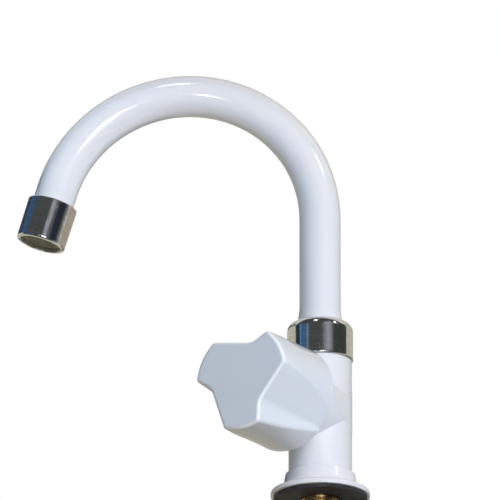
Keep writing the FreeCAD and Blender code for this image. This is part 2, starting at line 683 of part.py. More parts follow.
def gland_ring():
    """Split plastic ring between the spout's flange and the collar nut."""
    low = GLAND_Z
    outside = NECK_RADIUS - OPEN_GAP
    split = Part.makeBox(2 * outside, GLAND_SPLIT, 2 * GLAND_THICKNESS,
                         Vector(0, -GLAND_SPLIT / 2, low - GLAND_THICKNESS / 2))
    return ring(BELL_RADIUS + RUNNING, outside, low, low + GLAND_THICKNESS).cut(split)


def collar_nut():
    """Chromed nut that holds the spout, with a round shoulder."""
    low = COLLAR_TOP_Z - COLLAR_HEIGHT
    mouth = BELL_RADIUS + COLLAR_MOUTH_PLAY
    bore = NECK_RADIUS + SEATED
    roof = COLLAR_TOP_Z - COLLAR_LIP
    return turned([
        (bore, low), (COLLAR_RADIUS, low, COLLAR_EDGE),
        (COLLAR_RADIUS, COLLAR_TOP_Z, COLLAR_SHOULDER), (mouth, COLLAR_TOP_Z), (mouth, roof), (bore, roof)])


def spout_tube():
    """Gooseneck: widened foot, riser, arch and short straight tail."""
    bell_top = TUBE_FOOT_Z + BELL_LENGTH
    taper_top = bell_top + BELL_TAPER
    riser = turned([
        (BELL_BORE, TUBE_FOOT_Z), (BELL_RADIUS, TUBE_FOOT_Z), (BELL_RADIUS, bell_top, BELL_TAPER),
        (TUBE_RADIUS, taper_top, BELL_TAPER), (TUBE_RADIUS, ARCH_Z), (TUBE_BORE, ARCH_Z),
        (TUBE_BORE, taper_top), (BELL_BORE, bell_top + BELL_TAPER / 2)])
    section = Part.Face([Part.Wire(Part.makeCircle(radius, Vector(0, 0, ARCH_Z)))
                         for radius in (TUBE_RADIUS, TUBE_BORE)])
    arch = section.revolve(Vector(-ARCH_RADIUS, 0, ARCH_Z), Vector(0, -1, 0), ARCH_SWEEP)
    tail = on_outlet(ring(TUBE_BORE, TUBE_RADIUS, -TAIL_LENGTH, TUBE_IN_HOUSING))
    return riser.fuse([arch, tail]).removeSplitter()


def outlet_nipple():
    """Brass bush in the tube's end, threaded for the aerator housing."""
    inside = TUBE_BORE - SEATED
    return turned([
        (NIPPLE_BORE, TUBE_IN_HOUSING - NIPPLE_IN_TUBE), (inside, TUBE_IN_HOUSING - NIPPLE_IN_TUBE),
        (inside, TUBE_IN_HOUSING), (NIPPLE_RADIUS, TUBE_IN_HOUSING), (NIPPLE_RADIUS, NIPPLE_END),
        (NIPPLE_BORE, NIPPLE_END)])


def aerator_housing():
    """Chromed sleeve with an inner thread, a lip at the outlet and two key notches."""
    bore = NIPPLE_RADIUS + SEATED
    solid = turned([
        (bore, 0), (HOUSING_TOP_RADIUS, 0, HOUSING_TOP_ROUND),
        (HOUSING_END_RADIUS, HOUSING_LENGTH, HOUSING_END_ROUND),
        (HOUSING_LIP_RADIUS, HOUSING_LENGTH, HOUSING_LIP_ROUND), (HOUSING_LIP_RADIUS, INSERT_END),
        (bore, INSERT_END)])
    notch = Part.makeBox(4 * HOUSING_TOP_RADIUS, NOTCH_WIDTH, NOTCH_DEPTH,
                         Vector(-2 * HOUSING_TOP_RADIUS, -NOTCH_WIDTH / 2, HOUSING_LENGTH - NOTCH_DEPTH))
    return solid.cut(notch)


def aerator_washer():
    """Rubber ring between nipple and aerator insert."""
    return ring(NIPPLE_BORE, INSERT_RADIUS - OPEN_GAP, NIPPLE_END, INSERT_START)


def aerator_insert():
    """Plastic cup with a drilled plate that breaks up the stream."""
    inside = INSERT_RADIUS - INSERT_WALL
    solid = turned([
        (0, INSERT_START), (INSERT_RADIUS, INSERT_START), (INSERT_RADIUS, INSERT_END), (inside, INSERT_END),
        (inside, INSERT_START + INSERT_PLATE_THICKNESS), (0, INSERT_START + INSERT_PLATE_THICKNESS)])
    for k in range(INSERT_HOLES):
        place = direction(360 / INSERT_HOLES * k) * INSERT_HOLE_CIRCLE
        solid = solid.cut(rod(INSERT_HOLE_RADIUS, INSERT_START, INSERT_END, place.x, place.y))
    return solid


def aerator_screen():
    """Outlet screen in the insert's lower end."""
    high = INSERT_END - SCREEN_RECESS
    return rod(INSERT_RADIUS - INSERT_WALL - SEATED, high - SCREEN_THICKNESS, high)


def pieces():
    """Every piece by node name."""
    spigot_rings = [o_ring(SPIGOT_BORE, SPIGOT_RING_THICKNESS, z) for z in spigot_ring_places()]
    stem_rings = [o_ring(STEM_BORE, STEM_RING_THICKNESS, s) for s in stem_ring_places()]
    upright = {
        "body_shell": body_shell(),
        "base_escutcheon": base_escutcheon(),
        "deck_gasket": deck_gasket(),
        "inlet_shank": inlet_shank(),
        "shank_washer": shank_washer(),
        "lock_nut": lock_nut(),
        "slip_washer": slip_washer(),
        "gland_ring": gland_ring(),
        "collar_nut": collar_nut(),
        "spout_tube": spout_tube(),
        "spout_spigot": spout_spigot(),
        "spigot_o_ring_lower": spigot_rings[0],
        "spigot_o_ring_upper": spigot_rings[1]}
    valve = {
        "valve_seat": valve_seat(),
        "bonnet": bonnet(),
        "bonnet_gasket": bonnet_gasket(),
        "valve_stem": valve_stem(),
        "stem_o_ring_inner": stem_rings[0],
        "stem_o_ring_outer": stem_rings[1],
        "stem_circlip": stem_circlip(),
        "valve_piston": valve_piston(),
        "seat_rubber": seat_rubber(),
        "washer_screw": washer_screw(),
        "knob": knob()}
    outlet = {
        "outlet_nipple": outlet_nipple(),
        "aerator_housing": aerator_housing(),
        "aerator_washer": aerator_washer(),
        "aerator_insert": aerator_insert(),
        "aerator_screen": aerator_screen()}
    placed = dict(upright)
    placed.update({name: on_valve_axis(shape) for name, shape in valve.items()})
    placed.update({name: on_outlet(shape) for name, shape in outlet.items()})
    return placed


os.makedirs("parts", exist_ok=True)
for node, shape in pieces().items():
    shape.exportStep(f"parts/{node}.step")
    box = shape.BoundBox
    print(f"{node}: {len(shape.Solids)} solid, valid {shape.isValid()}, volume {shape.Volume:.1f}, "
          f"x {box.XMin:.1f} {box.XMax:.1f}, y {box.YMin:.1f} {box.YMax:.1f}, z {box.ZMin:.1f} {box.ZMax:.1f}")
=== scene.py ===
"""White swivel tap with a gooseneck spout: finishes, fine forms, lights and camera.

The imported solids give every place. Each class holds one sub-assembly's sizes, in metres, and makes or dresses its
pieces. Angles are in degrees, and a heading is counted from straight ahead, positive to the right.
"""
from __future__ import annotations

import json
import logging
import math
from dataclasses import dataclass
from enum import Enum

import bmesh
import bpy
from mathutils import Matrix, Vector

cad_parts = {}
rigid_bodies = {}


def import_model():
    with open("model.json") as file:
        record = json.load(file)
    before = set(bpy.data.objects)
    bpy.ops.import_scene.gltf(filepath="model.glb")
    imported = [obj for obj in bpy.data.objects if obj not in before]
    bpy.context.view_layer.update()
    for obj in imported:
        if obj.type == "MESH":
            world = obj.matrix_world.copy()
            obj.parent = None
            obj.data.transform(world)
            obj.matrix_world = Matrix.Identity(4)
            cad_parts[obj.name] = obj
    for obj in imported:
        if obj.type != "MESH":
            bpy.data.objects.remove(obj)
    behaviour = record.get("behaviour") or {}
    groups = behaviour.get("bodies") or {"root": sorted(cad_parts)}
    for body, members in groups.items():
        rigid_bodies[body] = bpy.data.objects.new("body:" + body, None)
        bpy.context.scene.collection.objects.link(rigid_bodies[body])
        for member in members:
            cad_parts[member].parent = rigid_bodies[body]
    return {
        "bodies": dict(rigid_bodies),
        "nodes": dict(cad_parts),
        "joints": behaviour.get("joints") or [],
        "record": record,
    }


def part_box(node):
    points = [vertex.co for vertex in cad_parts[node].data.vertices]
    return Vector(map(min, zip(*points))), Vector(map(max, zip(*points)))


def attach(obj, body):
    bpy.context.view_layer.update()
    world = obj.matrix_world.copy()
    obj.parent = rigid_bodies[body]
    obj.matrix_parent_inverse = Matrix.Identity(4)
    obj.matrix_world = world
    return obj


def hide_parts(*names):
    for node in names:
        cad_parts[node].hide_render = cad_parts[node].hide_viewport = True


LOG = logging.getLogger("tap")
Mesh, Material, Tree = bpy.types.Mesh, bpy.types.Material, bpy.types.NodeTree
Socket, Sockets = bpy.types.NodeSocket, bpy.types.bpy_prop_collection
Colour = tuple[float, float, float]
Direction = tuple[float, float, float]
WHITE: Colour = (1.0, 1.0, 1.0)
UPRIGHT: Direction = (0.0, 0.0, 1.0)
ARCH_SWEEP = 163.0


class Body(Enum):
    """Bodies that carry a made piece."""

    TAP = "tap_body"
    SPOUT = "spout"


class Slot(Enum):
    """Material slots of the record that a made piece belongs to."""

    WHITE_ENAMEL = "white_enamel"
    BRASS = "brass"
    STEEL_MESH = "steel_mesh"


class Sheet:
    """A node tree with short calls that add nodes and join them."""

    def __init__(self, tree: Tree) -> None:
        """Keep the tree that the calls work on."""
        self.tree = tree

    def feed(self, socket: Socket, value: object) -> None:
        """Join a socket to an output, or set its value.

        Args:
            socket: The input to fill.
            value: The output to join to it, or its value.
        """
        if isinstance(value, Socket):
            self.tree.links.new(value, socket)
        else:
            socket.default_value = value

    def add(self, kind: str, inputs: dict[str | int, object] | None = None, **settings: object) -> bpy.types.Node:
        """Add a node.

        Args:
            kind: The node's type name.
            inputs: Values or outputs by the input's name or number.
            **settings: The node's own options.

        Returns:
            The new node.
        """
        node = self.tree.nodes.new(kind)
        for name, value in settings.items():
            setattr(node, name, value)
        for name, value in (inputs or {}).items():
            self.feed(node.inputs[name], value)
        return node

    def math(self, operation: str, first: object, second: object = 0.0) -> Socket:
        """Return the result of a sum on one or two values."""
        return self.add("ShaderNodeMath", {0: first, 1: second}, operation=operation).outputs[0]

    def times(self, first: object, second: object) -> Socket:
        """Return the product of two values."""
        return self.math("MULTIPLY", first, second)

    def joined(self, operation: str, first: object, second: object) -> Socket:
        """Return the vector that two vectors give."""
        return self.add("ShaderNodeVectorMath", {0: first, 1: second}, operation=operation).outputs[0]

    def along(self, vector: object, axis: object) -> Socket:
        """Return how far a vector reaches along an axis."""
        return self.add("ShaderNodeVectorMath", {0: vector, 1: axis}, operation="DOT_PRODUCT").outputs["Value"]

    def scaled(self, vector: object, factor: object) -> Socket:
        """Return a vector made longer or shorter by a factor."""
        return self.add("ShaderNodeVectorMath", {0: vector, "Scale": factor}, operation="SCALE").outputs[0]

    def ramp(self, value: object, low: float, high: float, start: float, end: float) -> Socket:
        """Return a value carried smoothly from one range to another, and held at its ends."""
        inputs = {"Value": value, "From Min": low, "From Max": high, "To Min": start, "To Max": end}
        return self.add("ShaderNodeMapRange", inputs, interpolation_type="SMOOTHSTEP").outputs["Result"]

    def blend(self, mask: object, first: object, second: object) -> Socket:
        """Return a colour between two colours."""
        return self.add("ShaderNodeMix", {0: mask, 6: first, 7: second}, data_type="RGBA").outputs[2]

    def place(self) -> Socket:
        """Return the place on the object."""
        return self.add("ShaderNodeTexCoord").outputs["Object"]

    def noise(self, place: object, scale: object, detail: float, roughness: float = 0.5) -> Socket:
        """Return a noise from 0 to 1."""
        inputs = {"Vector": place, "Scale": scale, "Detail": detail, "Roughness": roughness}
        return self.add("ShaderNodeTexNoise", inputs).outputs["Fac"]


def rgba(colour: Colour) -> tuple[float, float, float, float]:
    """Return a colour with full cover."""
    return (*colour, 1.0)


class Groups:
    """Shader groups that several finishes share."""

    GRAIN_DETAIL, PATCH_DETAIL, PEEL_DETAIL = 2.0, 3.0, 1.0
    WANDER_SCALE, WANDER_DETAIL = 900.0, 2.0
    STREAK_DETAIL, STREAK_ROUGHNESS = 4.0, 0.6
    STREAK_EDGES = (0.3, 0.7)
    LINE_EDGES = (0.68, 0.74)
    LINE_TURNS = (20.0, 75.0, 140.0)
    LINE_TIPS = (0.3, 0.5)

    @staticmethod
    def open(name: str, sizes: tuple[str, ...], results: tuple[str, ...],
             vectors: tuple[str, ...] = ()) -> tuple[Sheet, Sockets, Sockets]:
        """Start a group.

        Args:
            name: The group's name.
            sizes: Names of the inputs that are values.
            results: Names of its outputs, all values.
            vectors: Names of the inputs that are vectors.

        Returns:
            The sheet to work on, what the group is given, and the sockets that take its results.
        """
        tree = bpy.data.node_groups.new(name, "ShaderNodeTree")
        for label in vectors:
            tree.interface.new_socket(label, in_out="INPUT", socket_type="NodeSocketVector")
        for labels, side in ((sizes, "INPUT"), (results, "OUTPUT")):
            for label in labels:
                tree.interface.new_socket(label, in_out=side, socket_type="NodeSocketFloat")
        sheet = Sheet(tree)
        return sheet, sheet.add("NodeGroupInput").outputs, sheet.add("NodeGroupOutput").inputs

    @classmethod
    def surface_grain(cls) -> Tree:
        """Make the group with a fine grain and slow patches, by the size of their features.

        Returns:
            The group. Both results run from 0 to 1.
        """
        sheet, given, result = cls.open("surface_grain", ("Grain Size", "Patch Size"), ("Grain", "Patches"))
        place = sheet.place()
        for index, detail in enumerate((cls.GRAIN_DETAIL, cls.PATCH_DETAIL)):
            sheet.feed(result[index], sheet.noise(place, sheet.math("DIVIDE", 1.0, given[index]), detail))
        return sheet.tree

    @classmethod
    def turned_marks(cls) -> Tree:
        """Make the group with the fine rings that a lathe leaves across an axis.

        Returns:
            The group. Its result runs from 0 to 1.
        """
        sheet, given, result = cls.open("turned_marks", ("Pitch", "Wander"), ("Marks",), ("Axis",))
        place = sheet.place()
        turns = sheet.math("DIVIDE", sheet.along(place, given["Axis"]), given["Pitch"])
        noise = sheet.noise(place, cls.WANDER_SCALE, cls.WANDER_DETAIL)
        phase = sheet.math("ADD", turns, sheet.times(noise, given["Wander"]))
        wave = sheet.math("SINE", sheet.times(phase, math.tau))
        sheet.feed(result["Marks"], sheet.ramp(wave, -1.0, 1.0, 0.0, 1.0))
        return sheet.tree

    @classmethod
    def burnishing(cls) -> Tree:
        """Make the group with the streaks that burnishing leaves round an axis.

        Returns:
            The group. Its result is 1 where the metal is dullest.
        """
        sheet, given, result = cls.open("burnishing", ("Width", "Length"), ("Streaks",), ("Axis",))
        place = sheet.place()
        rise = sheet.math("DIVIDE", sheet.along(place, given["Axis"]), given["Width"])
        around = sheet.scaled(place, sheet.math("DIVIDE", 1.0, given["Length"]))
        stretched = sheet.joined("ADD", around, sheet.scaled(given["Axis"], rise))
        noise = sheet.noise(stretched, 1.0, cls.STREAK_DETAIL, cls.STREAK_ROUGHNESS)
        sheet.feed(result["Streaks"], sheet.ramp(noise, *cls.STREAK_EDGES, 1.0, 0.0))
        return sheet.tree

    @classmethod
    def slow_peel(cls) -> Tree:
        """Make the group with a polished surface's slow unevenness, by the size of its swells.

        Returns:
            The group. Its result runs from 0 to 1.
        """
        sheet, given, result = cls.open("slow_peel", ("Size",), ("Peel",))
        scale = sheet.math("DIVIDE", 1.0, given["Size"])
        sheet.feed(result["Peel"], sheet.noise(sheet.place(), scale, cls.PEEL_DETAIL))
        return sheet.tree

    @classmethod
    def hairlines(cls) -> Tree:
        """Make the group with long thin wiping scratches.

        Returns:
            The group. Its result is 1 where a scratch lies.
        """
        sheet, given, result = cls.open("hairlines", ("Length", "Width"), ("Scratches",))
        place = sheet.place()
        thin = sheet.math("DIVIDE", 1.0, given["Width"])
        stretch = {"X": sheet.math("DIVIDE", 1.0, given["Length"]), "Y": thin, "Z": thin}
        drawn = sheet.add("ShaderNodeCombineXYZ", stretch).outputs[0]
        total = 0.0
        for turn in cls.LINE_TURNS:
            way = (cls.LINE_TIPS[0], math.radians(turn), cls.LINE_TIPS[1])
            tipped = sheet.add("ShaderNodeMapping", {"Vector": place, "Rotation": way}).outputs[0]
            noise = sheet.noise(sheet.joined("MULTIPLY", tipped, drawn), 1.0, 0.0)
            total = sheet.math("MAXIMUM", total, sheet.ramp(noise, *cls.LINE_EDGES, 0.0, 1.0))
        sheet.feed(result["Scratches"], total)
        return sheet.tree


class Surface(Sheet):
    """A material's nodes, with the shared groups and with the fine grain and slow patches, from 0 to 1."""

    def __init__(self, tree: Tree, groups: dict[str, Tree], finish: Finish) -> None:
        """Start the nodes.

        Args:
            tree: The material's tree.
            groups: The shared shader groups by name.
            finish: The finish with the sizes of grain and patches.
        """
        super().__init__(tree)
        self.groups = groups
        sizes = {"Grain Size": finish.grain_size, "Patch Size": finish.patch_size}
        grain = self.add("ShaderNodeGroup", sizes, node_tree=groups["surface_grain"]).outputs
        self.grain = grain["Grain"]
        self.patches = self.ramp(grain["Patches"], *finish.patch_edges, 0.0, 1.0)

    def shared(self, name: str, inputs: dict[str, object]) -> Socket:
        """Place a shared group and return its result."""
        return self.add("ShaderNodeGroup", inputs, node_tree=self.groups[name]).outputs[0]


@dataclass(frozen=True)
class Finish:
    """A surface with a grain, slow patches of colour and gloss, and a relief."""

    name: str
    colour: Colour
    patch_colour: Colour
    roughness: tuple[float, float]
    grain_size: float
    patch_size: float
    relief: float
    metallic: float = 0.0
    coat: float = 0.0
    coat_roughness: float = 0.03
    specular: float = 0.5
    patch_edges: tuple[float, float] = (0.35, 0.65)

    def build(self, groups: dict[str, Tree]) -> Material:
        """Make the material.

        Args:
            groups: The shared shader groups by name.

        Returns:
            The new material.
        """
        material = bpy.data.materials.new(self.name)
        material.use_nodes = True
        surface = Surface(material.node_tree, groups, self)
        relief = {"Height": self.height(surface), "Distance": self.relief, "Strength": 1.0}
        inputs = {"Base Color": self.tint(surface), "Roughness": self.gloss(surface), "Metallic": self.metallic,
                  "Coat Weight": self.coat, "Coat Roughness": self.coat_roughness,
                  "Specular IOR Level": self.specular, "Normal": surface.add("ShaderNodeBump", relief).outputs[0]}
        shader = material.node_tree.nodes["Principled BSDF"]
        for name, value in inputs.items():
            surface.feed(shader.inputs[name], value)
        return material

    def tint(self, surface: Surface) -> Socket:
        """Return the colour all over the surface."""
        return surface.blend(surface.patches, rgba(self.colour), rgba(self.patch_colour))

    def gloss(self, surface: Surface) -> Socket:
        """Return the roughness all over the surface."""
        return surface.ramp(surface.patches, 0.0, 1.0, *self.roughness)

    def height(self, surface: Surface) -> Socket:
        """Return the relief's height all over the surface."""
        return surface.grain


@dataclass(frozen=True)
class PlatedFinish(Finish):
    """Polished plating, burnished round an axis, with a slow unevenness and faint wiping scratches."""

    axis: Direction = UPRIGHT
    streak_colour: Colour = (0.76, 0.76, 0.755)
    streak_width: float = 0.0011
    streak_length: float = 0.011
    peel_size: float = 0.005
    peel_share: float = 20.0
    scratch_roughness: float = 0.22
    scratch_length: float = 0.02
    scratch_width: float = 0.00028

    def tint(self, surface: Surface) -> Socket:
        """Dull the colour along the burnishing.

        Args:
            surface: The material's nodes.

        Returns:
            The colour all over the surface.
        """
        sizes = {"Axis": self.axis, "Width": self.streak_width, "Length": self.streak_length}
        streaks = surface.shared("burnishing", sizes)
        return surface.blend(streaks, super().tint(surface), rgba(self.streak_colour))

    def gloss(self, surface: Surface) -> Socket:
        """Roughen the plating along the scratches.

        Args:
            surface: The material's nodes.

        Returns:
            The roughness all over the surface.
        """
        lines = surface.shared("hairlines", {"Length": self.scratch_length, "Width": self.scratch_width})
        raised = surface.times(lines, self.scratch_roughness)
        return surface.math("MAXIMUM", super().gloss(surface), raised)

    def height(self, surface: Surface) -> Socket:
        """Return the grain over the plating's slow unevenness."""
        peel = surface.shared("slow_peel", {"Size": self.peel_size})
        return surface.math("ADD", surface.grain, surface.times(peel, self.peel_share))


@dataclass(frozen=True)
class TurnedFinish(Finish):
    """Machined metal with lathe rings across an axis."""

    axis: Direction = UPRIGHT
    pitch: float = 0.00035
    wander: float = 0.12
    grain_share: float = 0.08

    def height(self, surface: Surface) -> Socket:
        """Return the rings, with a little of the grain between them."""
        marks = surface.shared("turned_marks", {"Axis": self.axis, "Pitch": self.pitch, "Wander": self.wander})
        return surface.math("ADD", marks, surface.times(surface.grain, self.grain_share))


@dataclass(frozen=True)
class RimHighlightFinish(Finish):
    """Moulded plastic with a painted highlight on the rim round its face, where the surface turns away from an axis.
    """

    axis: Direction = UPRIGHT
    rim_highlight_colour: Colour = (0.90, 0.94, 0.98)
    face_edge: tuple[float, float] = (0.86, 0.985)
    flank_edge: tuple[float, float] = (0.40, 0.62)

    def tint(self, surface: Surface) -> Socket:
        """Paint a highlight on the rim.

        Args:
            surface: The material's nodes.

        Returns:
            The colour all over the surface.
        """
        turned = surface.along(surface.add("ShaderNodeTexCoord").outputs["Normal"], self.axis)
        off_face = surface.ramp(turned, *self.face_edge, 1.0, 0.0)
        off_flank = surface.ramp(turned, *self.flank_edge, 0.0, 1.0)
        # painted highlight: the rim between the face and the flank takes a paler colour
        rim = surface.times(off_face, off_flank)
        return surface.blend(rim, super().tint(surface), rgba(self.rim_highlight_colour))


@dataclass(frozen=True)
class Corner:
    """Corner of a turned profile, rounded by an arc where it has one."""

    radius: float
    height: float
    rounding: float = 0.0


@dataclass(frozen=True)
class Lathe:
    """Makes closed turned meshes about Z, with a number of sides to the turn and of steps to a rounding."""

    sides: int
    arc_steps: int = 1
    merge_distance: float = 1e-7

    def outline(self, corners: list[Corner]) -> list[tuple[float, float]]:
        """Divide a profile, with each rounding as an arc.

        Args:
            corners: The profile's corners in order.

        Returns:
            The points, as (radius, height).
        """
        places = [Vector((corner.radius, corner.height)) for corner in corners]
        points = []
        for index, corner in enumerate(corners):
            here = places[index]
            if corner.rounding <= 0:
                points.append((here.x, here.y))
                continue
            back = (places[index - 1] - here).normalized()
            on = (places[(index + 1) % len(places)] - here).normalized()
            half = back.angle(on) / 2
            centre = here + (back + on).normalized() * (corner.rounding / math.sin(half))
            reach = corner.rounding / math.tan(half)
            start = here + back * reach - centre
            sweep = start.angle_signed(here + on * reach - centre)
            for step in range(self.arc_steps + 1):
                turned = Matrix.Rotation(-sweep * step / self.arc_steps, 2) @ start
                points.append((centre.x + turned.x, centre.y + turned.y))
        return points

    def turn(self, name: str, points: list[tuple[float, float]]) -> Mesh:
        """Turn a closed loop of (radius, height) points about Z.

        Args:
            name: The mesh's name.
            points: The loop's points.

        Returns:
            The mesh, with its faces outwards.
        """
        mesh = bpy.data.meshes.new(name)
        shape = bmesh.new()
        turns = [math.tau * side / self.sides for side in range(self.sides)]
        rings = [[shape.verts.new((radius * math.cos(turn), radius * math.sin(turn), height)) for turn in turns]
                 for radius, height in points]
        for ring, following in zip(rings, rings[1:] + rings[:1]):
            for side in range(self.sides):
                beside = (side + 1) % self.sides
                shape.faces.new((ring[side], ring[beside], following[beside], following[side]))
        bmesh.ops.remove_doubles(shape, verts=shape.verts, dist=self.merge_distance)
        bmesh.ops.recalc_face_normals(shape, faces=shape.faces)
        shape.to_mesh(mesh)
        shape.free()
        return mesh


class GeometryRecipe:
    """A Geometry Nodes tree whose sizes are named inputs of the modifier."""

    def __init__(self, name: str, sizes: dict[str, float | int], material: Material) -> None:
        """Start the tree.

        Args:
            name: The tree's name.
            sizes: Value by input name; whole numbers become whole-number inputs.
            material: The finish set at the end of the tree.
        """
        tree = bpy.data.node_groups.new(name, "GeometryNodeTree")
        tree.interface.new_socket("Geometry", in_out="INPUT", socket_type="NodeSocketGeometry")
        tree.interface.new_socket("Geometry", in_out="OUTPUT", socket_type="NodeSocketGeometry")
        self.identifiers = {}
        for label, value in sizes.items():
            kind = "NodeSocketInt" if isinstance(value, int) else "NodeSocketFloat"
            self.identifiers[label] = tree.interface.new_socket(label, in_out="INPUT", socket_type=kind).identifier
        self.sheet = Sheet(tree)
        self.sizes = sizes
        self.material = material
        self.given = self.sheet.add("NodeGroupInput").outputs

    def sweep(self, radius: object, more: dict[str, object]) -> None:
        """End the tree with a circle swept along the carrier's lines.

        Args:
            radius: The circle's radius.
            more: What else Curve to Mesh is given.
        """
        line = self.sheet.add("GeometryNodeMeshToCurve", {0: self.given["Geometry"]}).outputs[0]
        size = {"Resolution": self.given["Sides"], "Radius": radius}
        circle = self.sheet.add("GeometryNodeCurvePrimitiveCircle", size).outputs[0]
        swept = self.sheet.add("GeometryNodeCurveToMesh", {"Curve": line, "Profile Curve": circle, **more})
        self.close(swept.outputs[0])

    def close(self, geometry: Socket) -> None:
        """End the tree: instances become real, faces are shaded smooth and take the finish.

        Args:
            geometry: The output that the tree ends with.
        """
        smooth = self.sheet.add("GeometryNodeSetShadeSmooth", {"Geometry": geometry})
        real = self.sheet.add("GeometryNodeRealizeInstances", {"Geometry": smooth.outputs[0]})
        coated = self.sheet.add("GeometryNodeSetMaterial", {"Geometry": real.outputs[0], "Material": self.material})
        self.sheet.add("NodeGroupOutput", {0: coated.outputs[0]})

    def apply(self, name: str, carrier: Mesh) -> Mesh:
        """Run the tree on a carrier mesh.

        Args:
            name: The new mesh's name.
            carrier: The mesh that the tree starts from.

        Returns:
            The plain mesh.
        """
        holder = placed(name + "_carrier", carrier)
        modifier = holder.modifiers.new("recipe", "NODES")
        modifier.node_group = self.sheet.tree
        for label, identifier in self.identifiers.items():
            modifier[identifier] = self.sizes[label]
        mesh = baked(holder)
        mesh.name = name
        bpy.data.objects.remove(holder)
        return mesh


def placed(name: str, data: bpy.types.ID) -> bpy.types.Object:
    """Put an object into the scene.

    Args:
        name: The object's name.
        data: Its mesh, lamp or lens.

    Returns:
        The new object.
    """
    holder = bpy.data.objects.new(name, data)
    bpy.context.scene.collection.objects.link(holder)
    return holder


def baked(holder: bpy.types.Object) -> Mesh:
    """Return an object's shape with its modifiers as a plain mesh."""
    graph = bpy.context.evaluated_depsgraph_get()
    return bpy.data.meshes.new_from_object(holder.evaluated_get(graph), depsgraph=graph)


def faced_outwards(mesh: Mesh) -> Mesh:
    """Turn a closed mesh's faces outwards.

    Args:
        mesh: The closed mesh, which is changed.

    Returns:
        The same mesh.
    """
    shape = bmesh.new()
    shape.from_mesh(mesh)
    bmesh.ops.recalc_face_normals(shape, faces=shape.faces)
    if shape.calc_volume(signed=True) < 0:
        bmesh.ops.reverse_faces(shape, faces=shape.faces)
    shape.to_mesh(mesh)
    shape.free()
    return mesh


def smoothed_by_angle(mesh: Mesh, angle: float) -> Mesh:
    """Shade a mesh smooth but for edges sharper than an angle.

    Args:
        mesh: The mesh, which is changed.
        angle: The angle in degrees.

    Returns:
        The same mesh.
    """
    shape = bmesh.new()
    shape.from_mesh(mesh)
    for face in shape.faces:
        face.smooth = True
    for edge in shape.edges:
        edge.smooth = len(edge.link_faces) == 2 and edge.calc_face_angle(0.0) < math.radians(angle)
    shape.to_mesh(mesh)
    shape.free()
    return mesh


class Workshop:
    """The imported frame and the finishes, shared by all sub-assemblies."""

    def __init__(self) -> None:
        """Load the frame and make the shader groups."""
        self.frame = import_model()
        makers = (Groups.surface_grain, Groups.turned_marks, Groups.burnishing, Groups.slow_peel, Groups.hairlines)
        self.groups = {maker.__name__: maker() for maker in makers}
        self.materials: dict[str, Material] = {}

    def finish(self, finish: Finish) -> Material:
        """Make a finish's material, or find the one made before.

        Args:
            finish: The finish.

        Returns:
            The material.
        """
        if finish.name not in self.materials:
            self.materials[finish.name] = finish.build(self.groups)
        return self.materials[finish.name]

    def dress(self, finish: Finish, *nodes: str) -> None:
        """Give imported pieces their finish.

        Args:
            finish: The finish.
            *nodes: The pieces' nodes.
        """
        for node in nodes:
            piece = self.frame["nodes"][node]
            for slot in piece.material_slots:
                slot.material = self.finish(finish)
            LOG.info("%s: %s, %d faces", node, finish.name, len(piece.data.polygons))

    def place(self, name: str, mesh: Mesh, body: Body, slot: Slot, finish: Finish,
              replaced: str | None = None) -> None:
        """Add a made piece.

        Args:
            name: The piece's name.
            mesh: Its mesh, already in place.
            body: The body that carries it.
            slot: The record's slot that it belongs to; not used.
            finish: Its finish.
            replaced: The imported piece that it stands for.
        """
        mesh.materials.clear()
        mesh.materials.append(self.finish(finish))
        piece = placed(name, mesh)
        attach(piece, body.value)
        if replaced:
            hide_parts(replaced)
        LOG.info("%s: made, %s, %d faces", name, finish.name, len(mesh.polygons))

    def joint(self, name: str) -> dict:
        """Return a joint of the record by name."""
        return next(joint for joint in self.frame["joints"] if joint["name"] == name)


BODY_WHITE = Finish("moulded_white", (0.78, 0.80, 0.85), (0.76, 0.78, 0.835), roughness=(0.16, 0.22), coat=0.35,
                    grain_size=0.0016, relief=0.000006, patch_size=0.018)
TUBE_WHITE = Finish("enamelled_white", (0.80, 0.825, 0.88), (0.785, 0.81, 0.87), roughness=(0.10, 0.14), coat=1.0,
                    grain_size=0.0022, relief=0.000005, patch_size=0.03)
RUBBER = Finish("black_rubber", (0.025, 0.025, 0.027), (0.05, 0.05, 0.052), roughness=(0.55, 0.75),
                grain_size=0.0003, relief=0.00002, patch_size=0.006, specular=0.35)
NYLON = Finish("natural_nylon", (0.78, 0.76, 0.69), (0.74, 0.72, 0.65), roughness=(0.38, 0.5),
               grain_size=0.0005, relief=0.000005, patch_size=0.01)
DARK_PLASTIC = Finish("dark_moulded_plastic", (0.23, 0.235, 0.19), (0.29, 0.29, 0.24), roughness=(0.35, 0.5),
                      grain_size=0.0004, relief=0.00001, patch_size=0.004)
WIRE_STEEL = Finish("woven_wire_steel", (0.58, 0.58, 0.48), (0.44, 0.44, 0.37), roughness=(0.25, 0.4), metallic=0.55,
                    grain_size=0.0004, relief=0.000004, patch_size=0.003)


def chrome(name: str, axis: Direction) -> PlatedFinish:
    """Return polished plating, burnished round an axis."""
    return PlatedFinish("polished_chrome_" + name, (0.93, 0.93, 0.92), (0.90, 0.90, 0.90), roughness=(0.05, 0.09),
                        metallic=1.0, grain_size=0.0007, relief=0.0000015, patch_size=0.008, axis=axis)


def turned_brass(name: str, axis: Direction) -> TurnedFinish:
    """Return brass with lathe rings across an axis."""
    return TurnedFinish("turned_brass_" + name, (0.80, 0.58, 0.28), (0.70, 0.49, 0.23), roughness=(0.24, 0.36),
                        metallic=1.0, grain_size=0.0006, patch_size=0.006, relief=0.000003, axis=axis)


def knob_white(axis: Direction) -> RimHighlightFinish:
    """Return the knob's satin white, with a painted highlight on the rim of the face that looks along an axis."""
    return RimHighlightFinish("satin_moulded_white", (0.76, 0.815, 0.89), (0.745, 0.80, 0.88), roughness=(0.34, 0.42),
                       grain_size=0.00045, relief=0.000012, patch_size=0.016, coat=0.8, coat_roughness=0.1, axis=axis)


